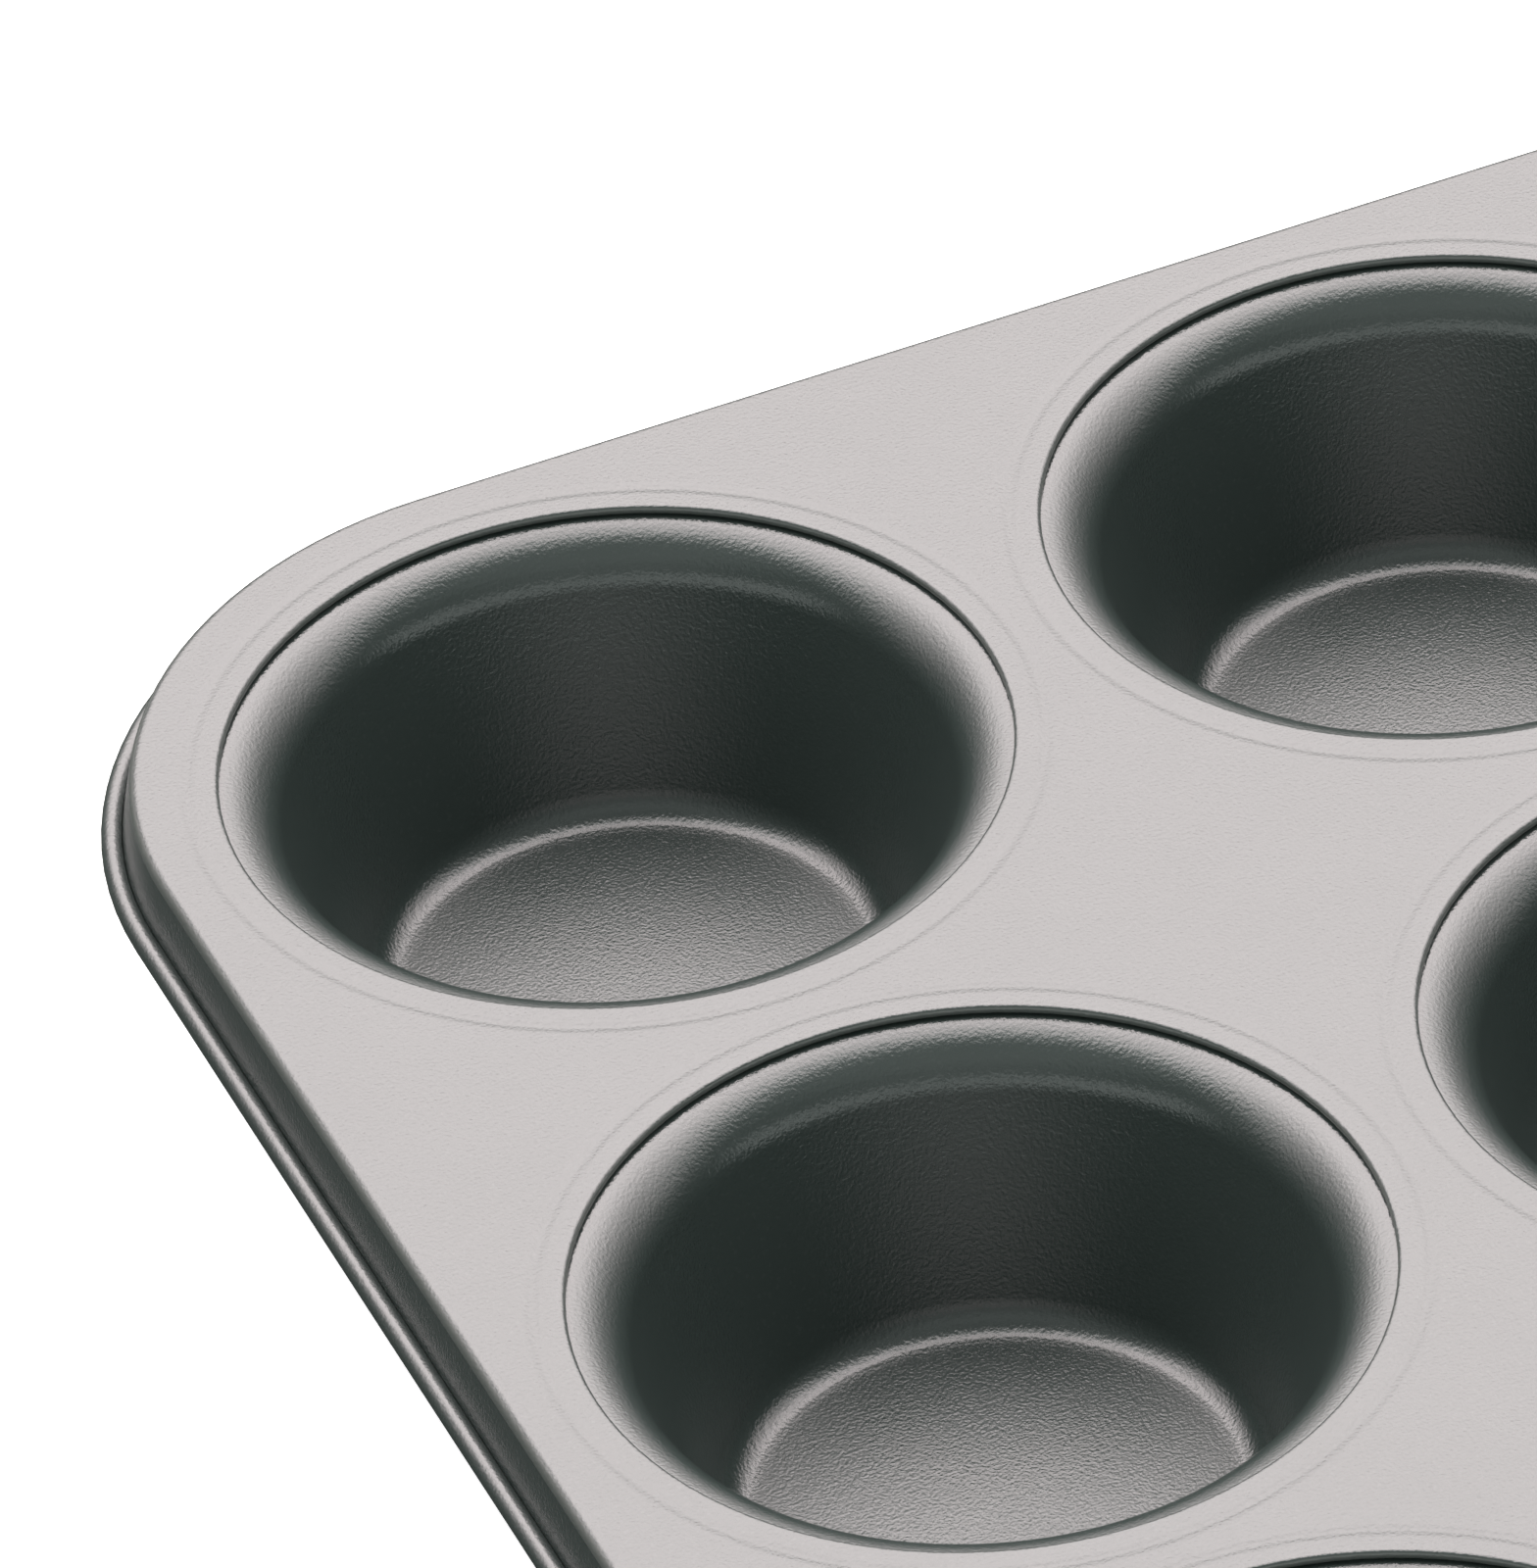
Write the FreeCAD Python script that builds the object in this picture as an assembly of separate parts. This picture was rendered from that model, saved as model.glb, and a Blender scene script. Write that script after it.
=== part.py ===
"""Muffin tin for twelve muffins, pressed and seamed from thin coated steel sheet, in millimetres.

Frame: X runs along the long side, Y along the short side and Z up. The origin is on the surface that the tin
stands on, under the middle of the tin.

The pieces are one frame sheet, twelve cups and one rim wire. Each cup hangs from the frame sheet by a lock seam:
the sheet is folded under at the edge of the hole, and the edge of the cup's flange is folded back over that hem.
Counted downwards, the seam's layers are the sheet, the edge of the cup, the hem of the sheet and the cup's flange.

A section is drawn in the XZ plane as a list of runs. A run is one corner point, or the three points of an arc, and
straight lines join each run to the next. Angles are in degrees, counterclockwise from +X.
"""

import FreeCAD, Part

import math
import os

# Layout of the cups
columns = 4
rows = 3
web_width = 9.8  # between the edges of neighbouring holes
border_width = 7.0  # from the edge of an outer hole to the bend at the edge of the flat top

# Sheet and clearances
sheet = 0.3
layer_gap = 0.02  # between two layers of a seam
wire_gap = 0.05  # all round the rim wire, and between the rolled edge and the skirt

# Cups, measured on the face that the batter touches
hole_radius = 37.3
cup_depth = 27.4  # from the top of the tin to the floor of a cup
lip_start = 0.6  # from the edge of the hole outwards to where the lip starts to curve down
lip_radius = 6.5
floor_fillet = 3.7
wall_taper = 18.0  # degrees from upright

# Lock seam
seam_width = 2.8  # from the edge of the hole to the outer fold
fold_lap = 0.1  # how far a folded edge stops from the middle of the fold that holds it
groove_depth = 0.12  # ring pressed into the top just outside the outer fold
groove_width = 1.4
groove_offset = 0.35  # from the outer fold to the middle of the groove
ring_margin = 0.7  # flat strip outside the groove

# Edge of the frame sheet
corner_offset = 1.7  # along X and along Y, from the middle of a corner cup to the middle of the corner's arc
edge_bend = 1.0  # outer radius of the bend at the edge of the flat top
skirt_lean = 12.0  # degrees from upright
bead_depth = 6.5  # from the top of the tin to the middle of the bead
wire_radius = 0.75

# Heights
top = cup_depth + sheet
floor = sheet
hook_top = top - sheet - layer_gap  # the cup's folded edge
hem_top = hook_top - sheet - layer_gap
flange_top = hem_top - sheet - layer_gap
bead_middle = top - bead_depth

# Seam radii, from the middle of a cup
fold_radius = 1.5 * sheet + layer_gap
inner_fold = hole_radius + fold_radius  # middle of the fold at the edge of the hole
outer_fold = hole_radius + seam_width - fold_radius
groove_middle = hole_radius + seam_width + groove_offset
ring_radius = groove_middle + groove_width / 2 + ring_margin

# Plan of the frame sheet
pitch = 2 * hole_radius + web_width
outer_x = (columns - 1) / 2 * pitch  # middle of a corner cup
outer_y = (rows - 1) / 2 * pitch
corner_x = outer_x + corner_offset  # middle of a corner's arc
corner_y = outer_y + corner_offset
flat_radius = hole_radius + border_width - corner_offset

# Bead, in the section of the edge, with X from the middle of a corner's arc
roll_radius = wire_radius + wire_gap  # face of the sheet that holds the wire
bead_radius = roll_radius + sheet
lean = math.radians(skirt_lean)
bead_drop = bead_depth - edge_bend  # from the middle of the bend to the middle of the bead
wire_middle = flat_radius + (edge_bend + roll_radius + bead_drop * math.sin(lean)) / math.cos(lean)
roll_end = 540 + skirt_lean - math.degrees(math.acos((roll_radius - wire_gap) / bead_radius))

origin = FreeCAD.Vector(0, 0, 0)
upright = FreeCAD.Vector(0, 0, 1)


def point(x, z):
    return FreeCAD.Vector(x, 0, z)


def corner(x, z):
    return (point(x, z),)


def arc(middle, radius, first, last):
    """Run from the first angle to the last, clockwise where the last is the smaller."""
    angles = [math.radians(angle) for angle in (first, (first + last) / 2, last)]
    return tuple(middle + point(radius * math.cos(angle), radius * math.sin(angle)) for angle in angles)


def section(runs):
    """Face inside a closed list of runs."""
    edges = []
    for run, following in zip(runs, runs[1:] + runs[:1]):
        if len(run) == 3:
            edges.append(Part.Arc(*run).toShape())
        if not run[-1].isEqual(following[0], 1e-7):
            edges.append(Part.makeLine(run[-1], following[0]))
    return Part.Face(Part.Wire(edges))


def turned(face):
    """Full turn of a section round the Z axis."""
    return face.revolve(origin, upright, 360)


def cup_section():
    """Half section of a cup, from the middle of its underside out to the seam and back along the inside."""
    lip = point(hole_radius + lip_start, flange_top - lip_radius)
    fold = point(outer_fold, hook_top - fold_radius)
    taper = math.radians(wall_taper)
    fillet_height = floor + floor_fillet
    drop = lip.z + lip_radius * math.sin(taper) - fillet_height + floor_fillet * math.sin(taper)
    wall_foot = lip.x - lip_radius * math.cos(taper) - drop * math.tan(taper)
    fillet = point(wall_foot - floor_fillet * math.cos(taper), fillet_height)
    hook_end = inner_fold + fold_lap
    return section([
        corner(0, 0),
        arc(fillet, floor_fillet + sheet, -90, -wall_taper),
        arc(lip, lip_radius - sheet, 180 - wall_taper, 90),
        arc(fold, fold_radius, -90, 90),
        corner(hook_end, hook_top),
        corner(hook_end, hook_top - sheet),
        arc(fold, fold_radius - sheet, 90, -90),
        arc(lip, lip_radius, 90, 180 - wall_taper),
        arc(fillet, floor_fillet, -wall_taper, -90),
        corner(0, floor),
    ])


def groove(height, first_side):
    """Run across the pressed ring at a height, from one side to the other: -1 is the inner side, 1 the outer."""
    half = first_side * groove_width / 2
    return (
        point(groove_middle + half, height),
        point(groove_middle, height - groove_depth),
        point(groove_middle - half, height),
    )


def hem_section():
    """Half section of the frame sheet round one hole: the pressed ring, the fold and the hem."""
    fold = point(inner_fold, top - fold_radius)
    hem_end = outer_fold - fold_lap
    return section([
        corner(ring_radius, top),
        groove(top, 1),
        arc(fold, fold_radius, 90, 270),
        corner(hem_end, hem_top - sheet),
        corner(hem_end, hem_top),
        arc(fold, fold_radius - sheet, 270, 90),
        groove(top - sheet, -1),
        corner(ring_radius, top - sheet),
    ])


def edge_section():
    """Section of the frame sheet's edge: the bend, the skirt, and the edge rolled outwards over the wire."""
    bend = point(flat_radius, top - edge_bend)
    bead = point(wire_middle, bead_middle)
    return section([
        arc(bend, edge_bend, 90, skirt_lean),
        arc(bead, roll_radius, 180 + skirt_lean, roll_end),
        arc(bead, bead_radius, roll_end, 180 + skirt_lean),
        arc(bend, edge_bend - sheet, skirt_lean, 90),
    ])


def wire_section():
    circle = Part.makeCircle(wire_radius, point(wire_middle, bead_middle), FreeCAD.Vector(0, 1, 0))
    return Part.Face(Part.Wire(circle))


def round_rim(face):
    """Solids that carry a section round the whole rim: at each corner a quarter turn and the side before it."""
    corners = [(corner_x, corner_y), (-corner_x, corner_y), (-corner_x, -corner_y), (corner_x, -corner_y)]
    solids = []
    for quarter, (x, y) in enumerate(corners):
        side_length = 2 * (corner_x if quarter % 2 else corner_y)
        bend = face.revolve(origin, upright, 90)
        side = face.extrude(FreeCAD.Vector(0, -side_length, 0))
        for solid in (bend, side):
            solid.rotate(origin, upright, 90 * quarter)
            solid.translate(FreeCAD.Vector(x, y, 0))
            solids.append(solid)
    return solids


def cup_middles():
    """Node name and middle of each cup. Row 1 is at the back, and column 1 at the left."""
    for row in range(rows):
        for column in range(columns):
            middle = FreeCAD.Vector(column * pitch - outer_x, outer_y - row * pitch, 0)
            yield f"cup_r{row + 1}_c{column + 1}", middle


def flat_top():
    """Flat of the frame sheet, with the openings that the hem rings fill."""
    reach_x = corner_x + flat_radius
    reach_y = corner_y + flat_radius
    blank = Part.makeBox(2 * reach_x, 2 * reach_y, sheet, FreeCAD.Vector(-reach_x, -reach_y, top - sheet))
    upright_edges = [edge for edge in blank.Edges if abs(edge.tangentAt(edge.FirstParameter).z) > 0.5]
    blank = blank.makeFillet(flat_radius, upright_edges)
    holes = [
        Part.makeCylinder(ring_radius, 2 * sheet, middle + FreeCAD.Vector(0, 0, top - 1.5 * sheet))
        for _, middle in cup_middles()
    ]
    return blank.cut(holes)


def frame_sheet():
    hem = turned(hem_section())
    hems = [hem.translated(middle) for _, middle in cup_middles()]
    return flat_top().multiFuse(hems + round_rim(edge_section())).removeSplitter()


def rim_wire():
    first, *others = round_rim(wire_section())
    return first.multiFuse(others).removeSplitter()


def write(node, shape):
    """Write one piece, which has to be a single sound solid."""
    if len(shape.Solids) != 1 or not shape.isValid():
        raise ValueError(f"{node} is not one sound solid")
    shape.Solids[0].exportStep(f"parts/{node}.step")
    print(f"{node}: {shape.Volume:.0f} mm3")


os.makedirs("parts", exist_ok=True)
write("frame_sheet", frame_sheet())
write("rim_wire", rim_wire())
cup = turned(cup_section())
for node, middle in cup_middles():
    write(node, cup.translated(middle))
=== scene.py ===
"""Visual model of a muffin tin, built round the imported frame, in metres and in the frame's own axes.

The frame sheet and the cups are modelled again from finer sections, with soft pressed rings and round folds,
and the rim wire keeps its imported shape. Every surface has a procedural finish.
"""

import functools
import logging
import math
from collections.abc import Callable, Sequence
from dataclasses import dataclass, field
from enum import Enum

import bmesh
import bpy
from mathutils import Matrix, Vector


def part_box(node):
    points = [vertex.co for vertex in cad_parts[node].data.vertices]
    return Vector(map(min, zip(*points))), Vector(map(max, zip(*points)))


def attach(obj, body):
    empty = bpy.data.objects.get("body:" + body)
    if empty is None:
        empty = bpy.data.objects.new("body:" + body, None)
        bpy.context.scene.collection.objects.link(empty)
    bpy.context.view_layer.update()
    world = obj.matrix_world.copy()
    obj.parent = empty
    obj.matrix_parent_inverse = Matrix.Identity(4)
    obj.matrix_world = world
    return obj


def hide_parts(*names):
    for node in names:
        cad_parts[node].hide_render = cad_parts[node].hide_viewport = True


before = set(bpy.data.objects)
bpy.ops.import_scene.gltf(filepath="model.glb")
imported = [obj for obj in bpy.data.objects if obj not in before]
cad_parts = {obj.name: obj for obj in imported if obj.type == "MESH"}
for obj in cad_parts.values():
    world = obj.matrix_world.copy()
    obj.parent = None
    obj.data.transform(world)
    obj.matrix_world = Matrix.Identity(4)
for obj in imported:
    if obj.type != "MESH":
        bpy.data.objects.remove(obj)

LOG = logging.getLogger("muffin_tin")
MM = 0.001
MERGE_DISTANCE = 0.001 * MM
PLACE_TOLERANCE = 0.01 * MM
SMOOTH_ANGLE = math.radians(40)
FULL_TURN = 2 * math.pi
QUARTER_TURN = math.pi / 2
SENSOR_WIDTH_MM = 36
CLIP_START = 0.01
CLIP_END = 50
LAYERS_OVER_FLANGE = 3
# Heights below the flat top between which the frame's shaded folds get painted light in their colour.
FOLD_FOOT = 0.95 * MM  # below the flat top
FOLD_HEAD = 0.1 * MM
PEBBLE_DETAIL = 3.0
CLOUD_DETAIL = 4.0
FLECK_RANGE = (0.86, 1.0)
CLOUD_RANGE = (0.3, 0.7)

Colour = tuple[float, float, float, float]


class Slot(Enum):
    """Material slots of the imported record."""

    COATING = "nonstick_coating"
    WIRE = "wire_steel"


def lone(piece: bpy.types.Object) -> None:
    """Select one object and nothing else.

    Args:
        piece: Object that the next operators act on.
    """
    bpy.ops.object.select_all(action="DESELECT")
    piece.select_set(True)
    bpy.context.view_layer.objects.active = piece


def settle(piece: bpy.types.Object) -> None:
    """Put an object's place, turn and scale into its mesh.

    Args:
        piece: Object whose origin goes to the frame's origin.
    """
    lone(piece)
    bpy.ops.object.transform_apply(location=True, rotation=True, scale=True)


def choose(piece: bpy.types.Object, test: Callable[[bmesh.types.BMEdge], bool]) -> None:
    """Select the edges of an edited mesh that pass a test, and nothing else.

    Args:
        piece: Object in edit mode.
        test: Function that says whether an edge is wanted.
    """
    bpy.ops.mesh.select_all(action="DESELECT")
    bpy.ops.mesh.select_mode(type="EDGE")
    mesh = bmesh.from_edit_mesh(piece.data)
    for edge in mesh.edges:
        if test(edge):
            edge.select_set(True)
    bmesh.update_edit_mesh(piece.data)


@dataclass
class Section:
    """Outline of a sheet's face, drawn from point to point in an upright plane.

    Attributes:
        hold: Distance from a bend at which a straight run has a point of its own, which keeps the run flat.
        points: Across and height of each point so far.
    """

    hold: float = 0.08 * MM
    points: list[tuple[float, float]] = field(default_factory=list)

    def start(self, across: float, height: float) -> "Section":
        """Begin at a point."""
        self.points.append((across, height))
        return self

    def run(self, across: float, height: float) -> "Section":
        """Draw a straight run.

        Args:
            across: Across of the run's end.
            height: Height of the run's end.

        Returns:
            The same section, for the next run.
        """
        first = Vector(self.points[-1])
        last = Vector((across, height))
        length = (last - first).length
        if length > 4 * self.hold:
            near = self.hold / length
            self.points.extend(tuple(first.lerp(last, share)) for share in (near, 1 - near))
        self.points.append((across, height))
        return self

    def arc(
        self, middle: Vector, radius: float, first: float, last: float, spans: int
    ) -> "Section":
        """Draw an arc, with a straight run before it where its start is somewhere else.

        Args:
            middle: Across and height of the arc's middle.
            radius: Radius of the arc.
            first: Angle of the arc's start, in degrees counterclockwise from across.
            last: Angle of the arc's end.
            spans: How many spans the arc is divided into.

        Returns:
            The same section, for the next run.
        """
        turned = [math.radians(first + (last - first) * span / spans) for span in range(spans + 1)]
        places = [
            (middle.x + radius * math.cos(angle), middle.y + radius * math.sin(angle))
            for angle in turned
        ]
        if self.points and (Vector(places[0]) - Vector(self.points[-1])).length > MERGE_DISTANCE:
            self.run(*places[0])
        elif self.points:
            self.points.pop()
        self.points.extend(places)
        return self

    def dip(self, middle: float, width: float, depth: float, spans: int) -> "Section":
        """Draw a soft pressed ring in a level run.

        Args:
            middle: Across of the ring's deepest point.
            width: Width of the ring, negative where the section runs inwards.
            depth: Depth of the ring.
            spans: How many spans the ring is divided into.

        Returns:
            The same section, for the next run.
        """
        height = self.points[-1][1]
        self.run(middle - width / 2, height)
        for span in range(1, spans + 1):
            share = span / spans
            fall = depth * (1 - math.cos(2 * math.pi * share)) / 2
            self.points.append((middle + width * (share - 0.5), height - fall))
        return self

    def drawn(self, name: str, offset: Vector) -> bpy.types.Object:
        """Draw the section as a chain of edges in the XZ plane and leave it in edit mode, selected.

        Args:
            name: Name of the new object.
            offset: Where the section's zero lies.

        Returns:
            The new object.
        """
        places = [offset + Vector((across, 0, height)) for across, height in self.points]
        bpy.ops.object.select_all(action="DESELECT")
        bpy.ops.mesh.primitive_plane_add(size=MM, location=places[0])
        piece = bpy.context.object
        piece.name = name
        bpy.ops.object.mode_set(mode="EDIT")
        bpy.ops.mesh.select_mode(type="VERT")
        bpy.ops.mesh.select_all(action="SELECT")
        bpy.ops.mesh.merge(type="CENTER")
        for here, there in zip(places, places[1:]):
            bpy.ops.mesh.extrude_vertices_move(TRANSFORM_OT_translate={"value": there - here})
        bpy.ops.mesh.select_all(action="SELECT")
        return piece


@dataclass(frozen=True)
class Gauge:
    """Thickness of the sheet metal and the room between folded layers."""

    sheet: float = 0.3 * MM
    gap: float = 0.02 * MM

    @property
    def step(self) -> float:
        """Height from one layer of a seam to the next."""
        return self.sheet + self.gap

    @property
    def fold(self) -> float:
        """Outer radius of a fold round one layer."""
        return 1.5 * self.sheet + self.gap

    def thicken(self, piece: bpy.types.Object) -> None:
        """Close an open sheet: merge it, turn its face up, give it thickness behind the face and smooth it.

        Args:
            piece: Open sheet, drawn along the face that is on top where the sheet is level.
        """
        lone(piece)
        bpy.ops.object.mode_set(mode="EDIT")
        bpy.ops.mesh.select_all(action="SELECT")
        bpy.ops.mesh.remove_doubles(threshold=MERGE_DISTANCE)
        bpy.ops.mesh.normals_make_consistent(inside=False)
        bpy.ops.object.mode_set(mode="OBJECT")
        widest = max(piece.data.polygons, key=lambda face: face.area * abs(face.normal.z))
        if widest.normal.z < 0:
            bpy.ops.object.mode_set(mode="EDIT")
            bpy.ops.mesh.select_all(action="SELECT")
            bpy.ops.mesh.flip_normals()
            bpy.ops.object.mode_set(mode="OBJECT")
        wall = piece.modifiers.new("sheet thickness", "SOLIDIFY")
        wall.thickness = self.sheet
        wall.offset = -1
        wall.use_even_offset = True
        bpy.ops.object.modifier_apply(modifier=wall.name)
        bpy.ops.object.shade_smooth_by_angle(angle=SMOOTH_ANGLE)


@dataclass(frozen=True)
class Layout:
    """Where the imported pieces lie.

    Attributes:
        cups: Middle of each cup's node, by the node's name.
        top: Height of the flat top.
        floor: Height of a cup's underside.
        seam_radius: Outer radius of a cup's lock seam.
        reach: Half sizes of the whole tin, along X and Y.
    """

    cups: dict[str, Vector]
    top: float
    floor: float
    seam_radius: float
    reach: Vector

    @classmethod
    def of_frame(cls, nodes: list[str]) -> "Layout":
        """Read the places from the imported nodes.

        Args:
            nodes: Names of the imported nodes.

        Returns:
            The layout of the tin.
        """
        cups = {}
        for node in sorted(name for name in nodes if name.startswith("cup_")):
            low, high = (Vector(corner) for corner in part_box(node))
            cups[node] = Vector(((low.x + high.x) / 2, (low.y + high.y) / 2, 0))
            seam_radius = (high.x - low.x) / 2
            floor = low.z
        low, high = (Vector(corner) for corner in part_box("frame_sheet"))
        return cls(cups, high.z, floor, seam_radius, Vector(((high.x - low.x) / 2, (high.y - low.y) / 2)))

    @property
    def corner_cup(self) -> Vector:
        """Middle of the cup in the +X, +Y corner."""
        return Vector((max(cup.x for cup in self.cups.values()), max(cup.y for cup in self.cups.values()), 0))


@dataclass
class NodeTree:
    """Short ways of adding and joining shader nodes."""

    tree: bpy.types.NodeTree

    def add(self, kind: str, **settings: object) -> bpy.types.Node:
        """Add a node and set its own settings.

        Args:
            kind: The node's type.
            **settings: Values of the node's own settings, by name.

        Returns:
            The new node.
        """
        node = self.tree.nodes.new(kind)
        for name, value in settings.items():
            setattr(node, name, value)
        return node

    def put(self, node: bpy.types.Node, **values: object) -> bpy.types.Node:
        """Set or link a node's inputs.

        Args:
            node: Node whose inputs are set.
            **values: Input names with underscores for spaces; a socket is linked, any other value is set.

        Returns:
            The same node.
        """
        for name, value in values.items():
            socket = node.inputs[name.replace("_", " ")]
            if isinstance(value, bpy.types.NodeSocket):
                self.tree.links.new(value, socket)
            else:
                socket.default_value = value
        return node

    def math(self, operation: str, *values: object, clamp: bool = False) -> bpy.types.NodeSocket:
        """Work out a number from sockets and numbers.

        Args:
            operation: Name of the operation.
            *values: Sockets and numbers that the operation takes.
            clamp: Whether the result is kept between 0 and 1.

        Returns:
            The result's socket.
        """
        node = self.add("ShaderNodeMath", operation=operation, use_clamp=clamp)
        for socket, value in zip(node.inputs, values):
            if isinstance(value, bpy.types.NodeSocket):
                self.tree.links.new(value, socket)
            else:
                socket.default_value = value
        return node.outputs[0]

    def along(self, vector: bpy.types.NodeSocket, direction: Sequence[float]) -> bpy.types.NodeSocket:
        """Work out how far a vector reaches along a direction.

        Args:
            vector: The vector's socket.
            direction: The direction, one metre long.

        Returns:
            The socket of the distance.
        """
        node = self.add("ShaderNodeVectorMath", operation="DOT_PRODUCT")
        self.tree.links.new(vector, node.inputs[0])
        node.inputs[1].default_value = direction
        return node.outputs["Value"]

    def between(
        self, value: bpy.types.NodeSocket, low: float, high: float, to_low: float = 0.0, to_high: float = 1.0
    ) -> bpy.types.NodeSocket:
        """Carry a range of a value smoothly over to another range.

        Args:
            value: The value's socket.
            low: Low end of the value's range.
            high: High end of the value's range.
            to_low: What the value becomes at the low end and below it.
            to_high: What the value becomes at the high end and above it.

        Returns:
            The result's socket.
        """
        node = self.add("ShaderNodeMapRange", interpolation_type="SMOOTHSTEP")
        self.put(node, Value=value, From_Min=low, From_Max=high, To_Min=to_low, To_Max=to_high)
        return node.outputs["Result"]

    def mix(self, factor: bpy.types.NodeSocket, first: object, second: object) -> bpy.types.NodeSocket:
        """Mix two colours.

        Args:
            factor: Share of the second colour.
            first: First colour, or its socket.
            second: Second colour, or its socket.

        Returns:
            The socket of the mixed colour.
        """
        node = self.add("ShaderNodeMix", data_type="RGBA")
        colours = [socket for socket in node.inputs if socket.type == "RGBA"]
        self.tree.links.new(factor, node.inputs["Factor"])
        for socket, value in zip(colours, (first, second)):
            if isinstance(value, bpy.types.NodeSocket):
                self.tree.links.new(value, socket)
            else:
                socket.default_value = value
        return next(socket for socket in node.outputs if socket.type == "RGBA")

    def noise(self, vector: bpy.types.NodeSocket, size: float, detail: float = 2.0) -> bpy.types.NodeSocket:
        """Add noise.

        Args:
            vector: Socket of the place that the noise follows.
            size: Rough size of its features, in metres.
            detail: How many finer layers it has.

        Returns:
            The socket of the noise's value.
        """
        node = self.add("ShaderNodeTexNoise")
        self.put(node, Vector=vector, Scale=1 / size, Detail=detail)
        return node.outputs["Fac"]


def new_group(name: str, inputs: dict[str, str], outputs: dict[str, str]) -> NodeTree:
    """Make an empty shader node group.

    Args:
        name: Name of the group.
        inputs: Socket type of each input, by its name.
        outputs: Socket type of each output, by its name.

    Returns:
        The group's tree, with its input and output nodes named "in" and "out".
    """
    tree = bpy.data.node_groups.new(name, "ShaderNodeTree")
    for in_out, sockets in (("INPUT", inputs), ("OUTPUT", outputs)):
        for socket, kind in sockets.items():
            tree.interface.new_socket(socket, in_out=in_out, socket_type=kind)
    tree.nodes.new("NodeGroupInput").name = "in"
    tree.nodes.new("NodeGroupOutput").name = "out"
    return NodeTree(tree)


def coating_grain_group() -> bpy.types.NodeTree:
    """Build the sprayed coating's grain: its pebbled height, its bright flecks and its faint clouds.

    Returns:
        The node group, with inputs Vector, Grain, Fleck and Cloud (sizes in metres).
    """
    number = "NodeSocketFloat"
    kit = new_group(
        "coating grain",
        {"Vector": "NodeSocketVector", "Grain": number, "Fleck": number, "Cloud": number},
        {"Height": number, "Flecks": number, "Clouds": number},
    )
    given, out = kit.tree.nodes["in"].outputs, kit.tree.nodes["out"]
    where = given["Vector"]
    scales = {name: kit.math("DIVIDE", 1.0, given[name]) for name in ("Grain", "Fleck", "Cloud")}
    pebbles = kit.put(kit.add("ShaderNodeTexNoise"), Vector=where, Scale=scales["Grain"], Detail=PEBBLE_DETAIL)
    cells = kit.put(kit.add("ShaderNodeTexVoronoi"), Vector=where, Scale=scales["Fleck"])
    lot = kit.put(kit.add("ShaderNodeSeparateColor"), Color=cells.outputs["Color"])
    clouds = kit.put(kit.add("ShaderNodeTexNoise"), Vector=where, Scale=scales["Cloud"], Detail=CLOUD_DETAIL)
    kit.put(
        out,
        Height=pebbles.outputs["Fac"],
        Flecks=kit.between(lot.outputs["Red"], *FLECK_RANGE),
        Clouds=kit.between(clouds.outputs["Fac"], *CLOUD_RANGE),
    )
    return kit.tree


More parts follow.
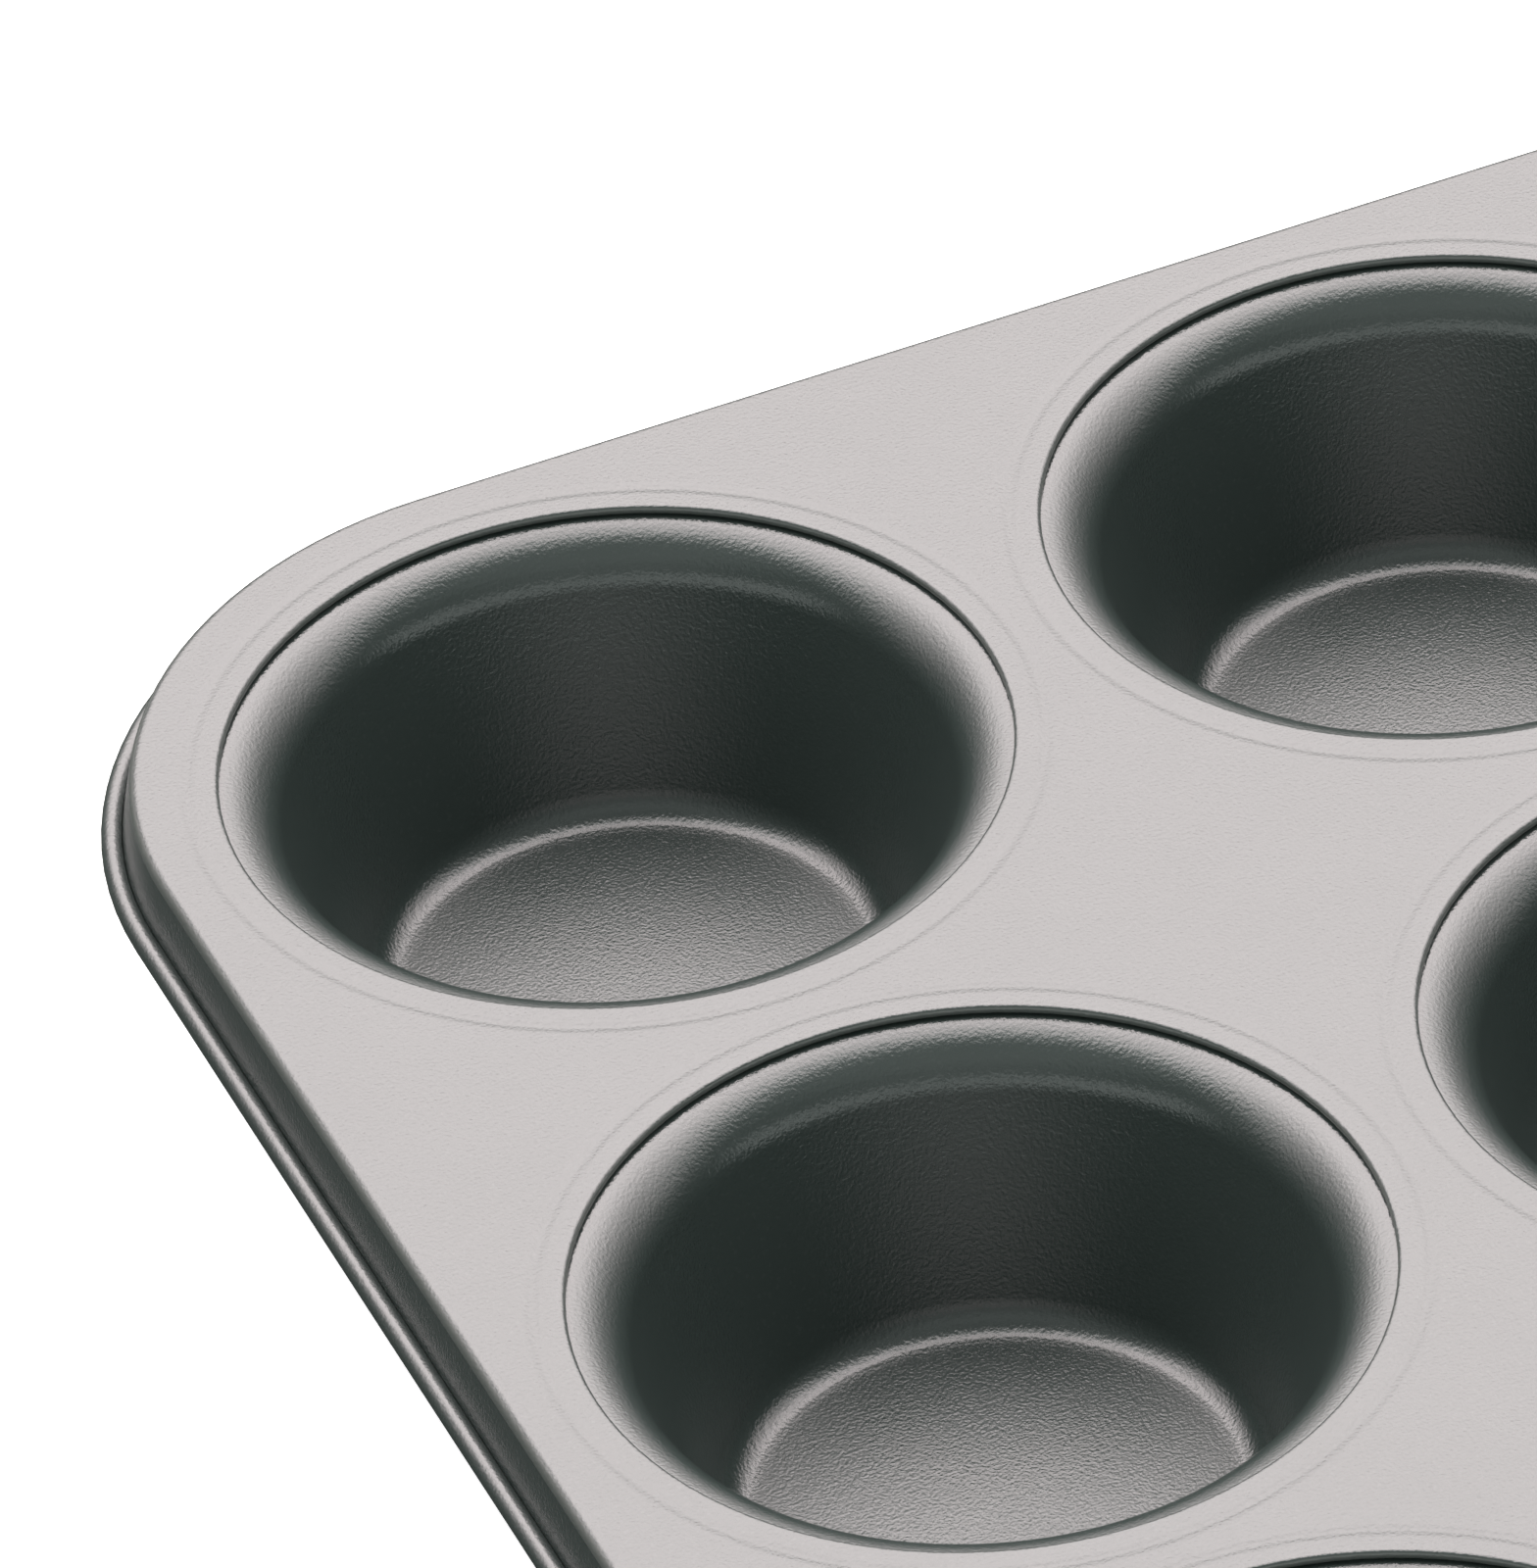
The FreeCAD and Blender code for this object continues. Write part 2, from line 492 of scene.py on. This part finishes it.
@dataclass(frozen=True)
class Coating:
    """Satin non-stick coating with a fine metallic fleck.

    Attributes:
        name: Name of the material.
        place: Name of the attribute that the pattern follows, or nothing for Object coordinates.
        dark: Colour between the flecks.
        light: Colour of the flecks.
        refraction: Index of refraction, which sets how strongly it reflects.
        smoothest: Roughness of the smoothest places.
        roughest: Roughness of the roughest places.
        floor_roughness: How much rougher the undrawn floor of a cup is, on a piece with a place attribute.
        floor_grain: Share by which the pebbles are higher there.
        undrawn: Heights between which the undrawn floor gives way to the drawn wall.
        grain: Size of the pebbles, in metres.
        grain_height: Height of the pebbles, in metres.
        fleck: Size of the cells that hold flecks, in metres.
        fleck_strength: How far a fleck turns from the dark colour to the light one.
        cloud: Size of the clouds, in metres.
        painted_fold_light: Painted light, a lighter colour on the folds just under the flat top, which lie in
            shade there.
        fold: Lowest and highest height of the band that gets the painted light, or None where the piece has
            none.
        painted_light_fade: Height over which the painted light fades.
    """

    name: str
    place: str = ""
    dark: Colour = (0.0385, 0.0520, 0.0480, 1)
    light: Colour = (0.050, 0.064, 0.060, 1)
    # Painted light on the shaded folds, not a colour of the coating itself.
    painted_fold_light: Colour = (0.115, 0.128, 0.120, 1)
    refraction: float = 1.8
    smoothest: float = 0.150
    roughest: float = 0.180
    floor_roughness: float = 0.11
    floor_grain: float = 0.8
    undrawn: tuple[float, float] = (0.31 * MM, 0.42 * MM)
    grain: float = 0.35 * MM
    grain_height: float = 0.055 * MM
    fleck: float = 0.30 * MM
    fleck_strength: float = 0.4
    cloud: float = 14 * MM
    fold: tuple[float, float] | None = None
    painted_light_fade: float = 0.1 * MM

    def material(self, grain: bpy.types.NodeTree) -> bpy.types.Material:
        """Make the material.

        Args:
            grain: The coating grain group.

        Returns:
            The new material.
        """
        material = bpy.data.materials.new(self.name)
        material.use_nodes = True
        kit = NodeTree(material.node_tree)
        shader = material.node_tree.nodes["Principled BSDF"]
        if self.place:
            where = kit.add("ShaderNodeAttribute", attribute_name=self.place).outputs["Vector"]
        else:
            where = kit.add("ShaderNodeTexCoord").outputs["Object"]
        speckle = kit.add("ShaderNodeGroup", node_tree=grain)
        kit.put(speckle, Vector=where, Grain=self.grain, Fleck=self.fleck, Cloud=self.cloud)
        flecks, clouds = speckle.outputs["Flecks"], speckle.outputs["Clouds"]
        colour = kit.mix(kit.math("MULTIPLY", flecks, self.fleck_strength), self.dark, self.light)
        rise = kit.put(kit.add("ShaderNodeSeparateXYZ"), Vector=where).outputs["Z"]
        # Painted light: the band just under the flat top gets a lighter colour that stands in for light. This
        # band covers the hems' folds and the top of the edge bend, which lie in shade.
        if self.fold:
            low, high = self.fold
            above = kit.between(rise, low - self.painted_light_fade, low)
            folded = kit.math("MULTIPLY", above, kit.between(rise, high - self.painted_light_fade, high, 1.0, 0.0))
            colour = kit.mix(folded, colour, self.painted_fold_light)
        rough = kit.between(clouds, 0, 1, self.smoothest, self.roughest)
        pebbles = speckle.outputs["Height"]
        if self.place:
            undrawn = kit.between(rise, *self.undrawn, 1.0, 0.0)
            rough = kit.math("MULTIPLY_ADD", undrawn, self.floor_roughness, rough)
            taller = kit.math("MULTIPLY_ADD", undrawn, self.floor_grain, 1.0)
            pebbles = kit.math("MULTIPLY", pebbles, taller)
        bump = kit.add("ShaderNodeBump")
        kit.put(bump, Strength=1.0, Distance=self.grain_height, Height=pebbles)
        kit.put(
            shader,
            Base_Color=colour,
            Roughness=rough,
            Normal=bump.outputs["Normal"],
            IOR=self.refraction,
        )
        return material


@dataclass(frozen=True)
class DrawnWire:
    """Plain drawn steel wire, with fine lines and a little dull oxide.

    Attributes:
        name: Name of the material.
        bright: Colour of the bare steel.
        dull: Colour of the oxide.
        cloud: Size of the oxide's clouds, in metres.
        cloud_detail: How many finer layers the clouds have.
        cloud_range: Values of the noise between which the oxide comes in.
        line: Distance between the fine lines, in metres.
        line_height: Height of the lines, in metres.
        line_strength: How strongly the lines turn the light.
        roughness: Roughness of the bare steel and of the oxide.
    """

    name: str = "drawn steel wire"
    bright: Colour = (0.62, 0.61, 0.59, 1)
    dull: Colour = (0.30, 0.28, 0.26, 1)
    cloud: float = 4 * MM
    cloud_detail: float = 5.0
    cloud_range: tuple[float, float] = (0.45, 0.7)
    line: float = 0.15 * MM
    line_height: float = 0.005 * MM
    line_strength: float = 0.4
    roughness: tuple[float, float] = (0.3, 0.5)

    def material(self) -> bpy.types.Material:
        """Make the material.

        Returns:
            The new material.
        """
        material = bpy.data.materials.new(self.name)
        material.use_nodes = True
        kit = NodeTree(material.node_tree)
        shader = material.node_tree.nodes["Principled BSDF"]
        where = kit.add("ShaderNodeTexCoord").outputs["Object"]
        oxide = kit.between(kit.noise(where, self.cloud, self.cloud_detail), *self.cloud_range)
        bump = kit.add("ShaderNodeBump")
        lines = kit.noise(where, self.line)
        kit.put(bump, Strength=self.line_strength, Distance=self.line_height, Height=lines)
        kit.put(
            shader,
            Base_Color=kit.mix(oxide, self.bright, self.dull),
            Roughness=kit.between(oxide, 0, 1, *self.roughness),
            Metallic=1.0,
            Normal=bump.outputs["Normal"],
        )
        return material


@dataclass
class Cup:
    """One deep-drawn cup: a level floor, a round foot, a tapered wall, a round lip and a folded flange.

    Attributes:
        layout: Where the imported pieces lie.
        gauge: Sheet of the cup.
        seam_width: From the edge of the hole to the outside of the seam.
        lip_start: From the edge of the hole outwards to where the lip starts to curve down.
        lip_radius: Radius of the lip.
        foot_radius: Radius between the wall and the floor.
        taper: Lean of the wall from upright, in degrees.
        fold_lap: How far the folded edge stops from the middle of the fold that it holds.
        spokes: How many spans go round the cup.
        foot_spans: Spans of the foot's arc.
        lip_spans: Spans of the lip's arc.
        fold_spans: Spans of the fold's arc.
        place: Name of the attribute that holds each point's place from the cup's middle.
    """

    layout: Layout
    gauge: Gauge = Gauge()
    seam_width: float = 2.8 * MM
    lip_start: float = 0.6 * MM
    lip_radius: float = 6.5 * MM
    foot_radius: float = 3.7 * MM
    taper: float = 18.0
    fold_lap: float = 0.1 * MM
    spokes: int = 128
    foot_spans: int = 12
    lip_spans: int = 18
    fold_spans: int = 6
    place: str = "from_cup_middle"

    def face(self) -> Section:
        """Draw the face that the batter touches, from the middle of the floor out to the folded edge.

        Returns:
            The half section of the cup's inner face.
        """
        gauge = self.gauge
        hole = self.layout.seam_radius - self.seam_width
        floor = self.layout.floor + gauge.sheet
        flange = self.layout.top - LAYERS_OVER_FLANGE * gauge.step
        lip = Vector((hole + self.lip_start, flange - self.lip_radius))
        lean = math.radians(self.taper)
        foot_height = floor + self.foot_radius
        drop = lip.y + self.lip_radius * math.sin(lean) - foot_height + self.foot_radius * math.sin(lean)
        wall_foot = lip.x - self.lip_radius * math.cos(lean) - drop * math.tan(lean)
        foot = Vector((wall_foot - self.foot_radius * math.cos(lean), foot_height))
        fold = Vector((self.layout.seam_radius - gauge.fold, self.layout.top - gauge.step - gauge.fold))
        section = Section().start(0, floor).run(foot.x / 2, floor)
        section.arc(foot, self.foot_radius, -90, -self.taper, self.foot_spans)
        section.arc(lip, self.lip_radius, 180 - self.taper, 90, self.lip_spans)
        section.arc(fold, gauge.fold - gauge.sheet, -90, 90, self.fold_spans)
        section.run(hole + gauge.fold + self.fold_lap, self.layout.top - gauge.step - gauge.sheet)
        return section

    def model(self) -> bpy.types.Object:
        """Model one cup round the frame's origin.

        Returns:
            The cup's object.
        """
        cup = self.face().drawn("cup", Vector())
        bpy.ops.mesh.spin(steps=self.spokes, angle=FULL_TURN, center=(0, 0, 0), axis=(0, 0, 1))
        bpy.ops.object.mode_set(mode="OBJECT")
        settle(cup)
        self.gauge.thicken(cup)
        places = [vertex.co for vertex in cup.data.vertices]
        spots = cup.data.attributes.new(self.place, "FLOAT_VECTOR", "POINT")
        for spot, place in zip(spots.data, places):
            spot.vector = place
        return cup

    def build(self, finish: bpy.types.Material) -> list[bpy.types.Object]:
        """Model the cups, each in its node's place.

        Args:
            finish: Material of the cups.

        Returns:
            The cups' objects.
        """
        pattern = self.model()
        pattern.data.materials.append(finish)
        cups = []
        for node, middle in self.layout.cups.items():
            cup = bpy.data.objects.new(f"{node}_drawn", pattern.data.copy())
            bpy.context.collection.objects.link(cup)
            cup.location = middle
            settle(cup)
            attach(cup, "root")
            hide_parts(node)
            cups.append(cup)
        bpy.data.objects.remove(pattern, do_unlink=True)
        return cups


@dataclass
class FrameSheet:
    """The flat top with its hemmed holes, and the skirt and bead round its edge.

    Attributes:
        layout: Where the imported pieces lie.
        gauge: Sheet of the frame.
        seam_width: From the edge of a hole to the outside of its seam.
        fold_lap: How far the hem stops from the middle of the fold that holds it.
        ring_offset: From the outside of the seam to the middle of the pressed ring.
        ring_width: Width of the pressed ring.
        ring_depth: Depth of the pressed ring.
        ring_margin: Level strip outside the ring.
        corner_offset: Along X and Y, from the middle of a corner cup to the middle of the corner's arc.
        edge_bend: Outer radius of the bend at the edge of the flat top.
        skirt_lean: Lean of the skirt from upright, in degrees.
        bead_depth: From the flat top down to the middle of the bead.
        roll_radius: Radius of the face that holds the wire.
        roll_room: Room between the rolled edge and the skirt.
        hole_spokes: How many spans go round a hole.
        corner_spokes: How many spans go round a corner.
        ring_spans: Spans across the pressed ring.
        fold_spans: Spans of the fold's arc.
        bend_spans: Spans of the bend's arc.
        bead_spans: Spans of the bead's arc.
    """

    layout: Layout
    gauge: Gauge = Gauge()
    seam_width: float = 2.8 * MM
    fold_lap: float = 0.1 * MM
    ring_offset: float = 0.25 * MM
    ring_width: float = 1.8 * MM
    ring_depth: float = 0.08 * MM
    ring_margin: float = 0.5 * MM
    corner_offset: float = 1.7 * MM
    edge_bend: float = 1.0 * MM
    skirt_lean: float = 12.0
    bead_depth: float = 6.5 * MM
    roll_radius: float = 0.8 * MM
    roll_room: float = 0.05 * MM
    hole_spokes: int = 96
    corner_spokes: int = 24
    ring_spans: int = 8
    fold_spans: int = 12
    bend_spans: int = 10
    bead_spans: int = 32

    def hem_face(self) -> Section:
        """Draw the face of one hem, from the flat top inwards over the fold and out along the underside.

        Returns:
            The half section of the hem's outer face.
        """
        top, gauge = self.layout.top, self.gauge
        hole = self.layout.seam_radius - self.seam_width
        ring = self.layout.seam_radius + self.ring_offset
        outside = ring + self.ring_width / 2 + self.ring_margin
        section = Section().start(outside, top)
        section.dip(ring, -self.ring_width, self.ring_depth, self.ring_spans)
        fold = Vector((hole + gauge.fold, top - gauge.fold))
        section.arc(fold, gauge.fold, 90, 270, self.fold_spans)
        return section.run(self.layout.seam_radius - gauge.fold - self.fold_lap, top - 2 * gauge.fold)

    def edge_face(self) -> Section:
        """Draw the edge's face, from the flat top over the bend, down the skirt and round inside the bead.

        Returns:
            The section of the edge's outer face, measured across from the middle of a corner's arc.
        """
        top = self.layout.top
        bead_radius = self.roll_radius + self.gauge.sheet
        bead = Vector((self.layout.reach.x - self.corner().x - bead_radius, top - self.bead_depth))
        lean = math.radians(self.skirt_lean)
        drop = self.bead_depth - self.edge_bend
        skirt = (self.edge_bend + self.roll_radius + drop * math.sin(lean)) / math.cos(lean)
        bend = Vector((bead.x - skirt, top - self.edge_bend))
        turned_in = math.degrees(math.acos((self.roll_radius - self.roll_room) / bead_radius))
        section = Section().start(bend.x - self.edge_bend, top)
        section.arc(bend, self.edge_bend, 90, self.skirt_lean, self.bend_spans)
        roll_start = 180 + self.skirt_lean
        return section.arc(bead, self.roll_radius, roll_start, roll_start + 360 - turned_in, self.bead_spans)

    def corner(self) -> Vector:
        """Find the middle of the arc of the +X, +Y corner."""
        return self.layout.corner_cup + Vector((self.corner_offset, self.corner_offset, 0))

    def hem(self) -> bpy.types.Object:
        """Model one hem round the frame's origin.

        Returns:
            The hem's open sheet.
        """
        hem = self.hem_face().drawn("hem", Vector())
        bpy.ops.mesh.spin(steps=self.hole_spokes, angle=FULL_TURN, center=(0, 0, 0), axis=(0, 0, 1))
        bpy.ops.object.mode_set(mode="OBJECT")
        settle(hem)
        return hem

    def edge(self) -> bpy.types.Object:
        """Model the whole edge: one corner and the half sides that meet it, mirrored twice.

        Returns:
            The edge's open sheet.
        """
        corner = self.corner()
        edge = self.edge_face().drawn("edge", corner)
        bpy.ops.mesh.spin(steps=self.corner_spokes, angle=-QUARTER_TURN, center=corner, axis=(0, 0, 1))
        bpy.ops.object.mode_set(mode="OBJECT")
        settle(edge)
        if min(vertex.co.y for vertex in edge.data.vertices) < corner.y - PLACE_TOLERANCE:
            raise RuntimeError("the corner was spun the wrong way")
        bpy.ops.object.mode_set(mode="EDIT")
        for axis, other in ((0, 1), (1, 0)):
            choose(edge, lambda one: all(
                abs(end.co[axis] - corner[axis]) < PLACE_TOLERANCE and end.co[other] > corner[other]
                for end in one.verts
            ))
            travel = Vector()
            travel[axis] = -corner[axis]
            bpy.ops.mesh.extrude_edges_move(TRANSFORM_OT_translate={"value": travel})
        bpy.ops.object.mode_set(mode="OBJECT")
        lone(edge)
        mirror = edge.modifiers.new("four corners", "MIRROR")
        mirror.use_axis = (True, True, False)
        mirror.merge_threshold = MERGE_DISTANCE
        bpy.ops.object.modifier_apply(modifier=mirror.name)
        return edge

    def build(self, finish: bpy.types.Material) -> bpy.types.Object:
        """Model the frame sheet.

        Args:
            finish: Material of the frame sheet.

        Returns:
            The frame sheet's object.
        """
        hem = self.hem()
        sheet = self.edge()
        pieces = [sheet]
        for middle in self.layout.cups.values():
            copy = bpy.data.objects.new("hem copy", hem.data.copy())
            bpy.context.collection.objects.link(copy)
            copy.location = middle
            settle(copy)
            pieces.append(copy)
        bpy.data.objects.remove(hem, do_unlink=True)
        lone(sheet)
        for piece in pieces:
            piece.select_set(True)
        bpy.ops.object.join()
        sheet.name = "frame_sheet_pressed"
        bpy.ops.object.mode_set(mode="EDIT")
        bpy.ops.mesh.select_all(action="SELECT")
        bpy.ops.mesh.remove_doubles(threshold=MERGE_DISTANCE)
        top = self.layout.top
        choose(sheet, lambda one: one.is_boundary and all(
            abs(end.co.z - top) < PLACE_TOLERANCE for end in one.verts
        ))
        bpy.ops.mesh.fill(use_beauty=True)
        bpy.ops.object.mode_set(mode="OBJECT")
        self.gauge.thicken(sheet)
        sheet.data.materials.append(finish)
        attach(sheet, "root")
        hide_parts("frame_sheet")
        return sheet


@dataclass(frozen=True)
class Ramp:
    """Smooth step from one share of light to another as a direction turns.

    Attributes:
        start: Where the step starts, as the reach of the direction along some axis.
        end: Where the step ends.
        before: Share before the start.
        after: Share after the end.
    """

    start: float
    end: float
    before: float = 0.0
    after: float = 1.0

    def share(self, kit: NodeTree, reach: bpy.types.NodeSocket) -> bpy.types.NodeSocket:
        """Work out the share of light from a direction's reach along the axis, and return its socket."""
        return kit.between(reach, self.start, self.end, self.before, self.after)


@dataclass(frozen=True)
class Studio:
    """Pale floor, soft dome of light and the camera.

    Attributes:
        aim: Point that the camera looks at, from the middle of the back left cup's mouth.
        heading: Angle of the camera's look from +Y towards +X, in degrees.
        elevation: Angle of the camera above the level, in degrees.
        roll: Turn of the picture, in degrees.
        distance: From the camera to the aim.
        lens: Focal length on a 36 mm frame, in millimetres.
        floor_size: Length of the square floor's side.
        floor_room: How far the floor lies below the cups.
        floor_colour: Colour of the floor as the camera sees it.
        floor_glow: Light that the floor gives the camera.
        floor_roughness: Roughness of the floor.
        reflected_floor: Colour of the floor as the tin sees it.
        back_light: Strength of the dome behind the tin.
        front_light: Strength of the dome on the camera's side.
        strip_light: Strength of the low strip on the camera's side.
        back_tint: Colour of the light behind the tin.
        front_tint: Colour of the light on the camera's side.
        behind: Step from the camera's side to the back.
        rise: Growth of the light with height.
        zenith: Loss of light near the top of the dome.
        right_fall: Loss of light to the right.
        left_fall: Loss of light to the left.
        strip_foot: Lower edge of the strip.
        strip_head: Upper edge of the strip.
        strip_back: Where the strip fades out towards the back.
    """

    aim: tuple[float, float] = (0.01079, -0.01114)
    heading: float = 20.32
    elevation: float = 38.57
    roll: float = 4.75
    distance: float = 1.430
    lens: float = 352.3
    floor_size: float = 8.0
    floor_room: float = 0.05 * MM
    floor_colour: Colour = (0.86, 0.86, 0.85, 1)
    floor_glow: float = 0.75
    floor_roughness: float = 0.9
    reflected_floor: Colour = (0.038, 0.052, 0.047, 1)
    back_light: float = 5.95
    front_light: float = 0.5
    strip_light: float = 1.0
    back_tint: Colour = (1.0, 0.915, 0.918, 1)
    front_tint: Colour = (0.93, 1.0, 0.97, 1)
    behind: Ramp = Ramp(-0.2, 0.32)
    rise: Ramp = Ramp(0.12, 0.75, 0.12, 1.0)
    zenith: Ramp = Ramp(0.78, 1.0, 1.0, 0.62)
    right_fall: Ramp = Ramp(0.18, 0.78, 1.0, 0.40)
    left_fall: Ramp = Ramp(-0.8, -0.3, 0.38, 1.0)
    strip_foot: Ramp = Ramp(0.05, 0.20)
    strip_head: Ramp = Ramp(0.32, 0.44, 1.0, 0.0)
    strip_back: tuple[float, float] = (-0.45, -0.15)

    def camera(self, layout: Layout) -> bpy.types.Object:
        """Place the camera.

        Args:
            layout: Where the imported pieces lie.

        Returns:
            The camera's object.
        """
        back_left = Vector((-layout.corner_cup.x, layout.corner_cup.y, layout.top))
        target = back_left + Vector((*self.aim, 0))
        heading, rise, roll = map(math.radians, (self.heading, self.elevation, self.roll))
        look = Vector((
            math.sin(heading) * math.cos(rise),
            math.cos(heading) * math.cos(rise),
            -math.sin(rise),
        ))
        turn = Matrix.Rotation(roll, 4, look) @ look.to_track_quat("-Z", "Y").to_matrix().to_4x4()
        bpy.ops.object.camera_add()
        camera = bpy.context.object
        camera.name = "camera"
        camera.matrix_world = Matrix.Translation(target - look * self.distance) @ turn
        camera.data.lens = self.lens
        camera.data.sensor_width = SENSOR_WIDTH_MM
        camera.data.clip_start = CLIP_START
        camera.data.clip_end = CLIP_END
        bpy.context.scene.camera = camera
        return camera

    def floor(self, height: float) -> bpy.types.Object:
        """Lay the floor, a hair below the cups. It can't be seen from below, so the underside stays in view.

        Args:
            height: Height of the cups' undersides.

        Returns:
            The floor's object.
        """
        place = (0, 0, height - self.floor_room)
        bpy.ops.mesh.primitive_plane_add(size=self.floor_size, location=place)
        floor = bpy.context.object
        floor.name = "floor"
        material = bpy.data.materials.new("pale floor")
        material.use_nodes = True
        kit = NodeTree(material.node_tree)
        shader = material.node_tree.nodes["Principled BSDF"]
        seen = kit.add("ShaderNodeLightPath").outputs["Is Camera Ray"]
        below = kit.add("ShaderNodeNewGeometry").outputs["Backfacing"]
        kit.put(
            shader,
            Base_Color=kit.mix(seen, self.reflected_floor, self.floor_colour),
            Roughness=self.floor_roughness,
            Emission_Color=(1, 1, 1, 1),
            Emission_Strength=kit.math("MULTIPLY", seen, self.floor_glow),
            Alpha=kit.math("SUBTRACT", 1.0, below),
        )
        floor.data.materials.append(material)
        return floor

    def light(self) -> None:
        """Light the scene with a dome, bright high up behind the tin, and a low strip on the camera's side."""
        world = bpy.data.worlds.new("studio dome")
        bpy.context.scene.world = world
        world.use_nodes = True
        kit = NodeTree(world.node_tree)
        background = world.node_tree.nodes["Background"]
        towards = kit.add("ShaderNodeTexCoord").outputs["Generated"]
        heading = math.radians(self.heading)
        back = kit.along(towards, (math.sin(heading), math.cos(heading), 0))
        right = kit.along(towards, (math.cos(heading), -math.sin(heading), 0))
        height = kit.put(kit.add("ShaderNodeSeparateXYZ"), Vector=towards).outputs["Z"]
        behind = self.behind.share(kit, back)
        level = Ramp(0, 1, self.front_light, self.back_light)
        dome = (
            level.share(kit, behind),
            self.rise.share(kit, height),
            self.zenith.share(kit, height),
            self.right_fall.share(kit, right),
            self.left_fall.share(kit, right),
        )
        strip = (
            self.strip_foot.share(kit, height),
            self.strip_head.share(kit, height),
            Ramp(*self.strip_back, self.strip_light, 0.0).share(kit, back),
        )
        strengths = [
            functools.reduce(lambda one, other: kit.math("MULTIPLY", one, other), shares)
            for shares in (dome, strip)
        ]
        strength = kit.math("ADD", *strengths)
        kit.put(background, Color=kit.mix(behind, self.front_tint, self.back_tint), Strength=strength)

    def build(self, layout: Layout) -> None:
        """Set the stage.

        Args:
            layout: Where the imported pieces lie.
        """
        self.floor(layout.floor)
        self.light()
        self.camera(layout)
        bpy.context.scene.view_settings.view_transform = "Standard"


def main() -> None:
    """Build the tin's pieces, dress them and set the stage."""
    logging.basicConfig(level=logging.INFO, format="%(name)s: %(message)s")
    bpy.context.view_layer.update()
    layout = Layout.of_frame(list(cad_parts))
    grain = coating_grain_group()
    # The frame's folds in this band get painted light in their colour.
    folds = (layout.top - FOLD_FOOT, layout.top - FOLD_HEAD)
    sheet = FrameSheet(layout).build(Coating("frame coating", fold=folds).material(grain))
    LOG.info("%s: %d faces", sheet.name, len(sheet.data.polygons))
    cup = Cup(layout)
    cup_finish = Coating("cup coating", place=cup.place).material(grain)
    for piece in cup.build(cup_finish):
        LOG.info("%s: %d faces", piece.name, len(piece.data.polygons))
    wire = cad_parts["rim_wire"]
    wire.data.materials.clear()
    wire.data.materials.append(DrawnWire().material())
    LOG.info("%s: drawn wire", wire.name)
    Studio().build(layout)


if __name__ == "__main__":
    main()
